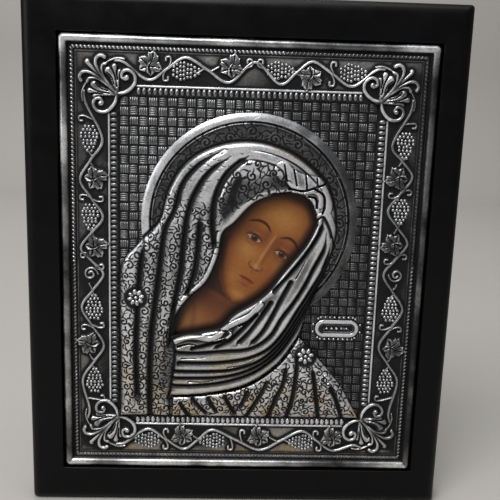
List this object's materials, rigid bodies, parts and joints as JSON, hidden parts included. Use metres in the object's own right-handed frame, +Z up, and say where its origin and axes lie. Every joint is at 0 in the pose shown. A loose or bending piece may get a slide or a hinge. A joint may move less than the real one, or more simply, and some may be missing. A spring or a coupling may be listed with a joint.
{
  "type": "oklad icon cover",
  "caption": "Embossed silver cover with a vine border, woven ground, halo and raised veil over a painted panel, set in a black lacquered board.",
  "frame": {"origin": "middle of the board's flat foot", "axes": "+Z up along the board's height, +Y away from the viewer through its thickness, +X right"},
  "size_m": [0.2354, 0.0319, 0.284],
  "materials": {
    "black_lacquer": "satin black lacquer",
    "plywood": "bare",
    "icon_paint": "satin varnish",
    "patinated_silver": "embossed, dark patina in the recesses",
    "relief_filler": "matt",
    "brass": "satin",
    "lining_cloth": "flocked"
  },
  "bodies": {
    "root": {"backing_board": "black_lacquer", "icon_panel": "plywood", "painted_icon": "icon_paint", "border_cover": "patinated_silver", "ground_sheet": "patinated_silver", "halo_ring": "patinated_silver", "veil_cover": "patinated_silver", "robe_cover": "patinated_silver", "name_plaque": "patinated_silver", "shoulder_star": "patinated_silver", "sleeve_star": "patinated_silver", "veil_filler": "relief_filler", "robe_filler": "relief_filler", "cover_pin_01": "brass", "cover_pin_02": "brass", "cover_pin_03": "brass", "cover_pin_04": "brass", "cover_pin_05": "brass", "cover_pin_06": "brass", "cover_pin_07": "brass", "cover_pin_08": "brass", "cover_pin_09": "brass", "cover_pin_10": "brass", "cover_pin_11": "brass", "cover_pin_12": "brass", "back_lining": "lining_cloth", "hanger_plate": "brass", "hanger_screw_1": "brass", "hanger_screw_2": "brass"},
    "ring": {"hanger_ring": "brass"}
  },
  "joints": [
    {"name": "ring_swing", "type": "hinge", "parent": "root", "child": "ring", "pos_m": [0, 0.0141, 0.258], "axis": [1, 0, 0], "range_deg": [0, 180]}
  ]
}
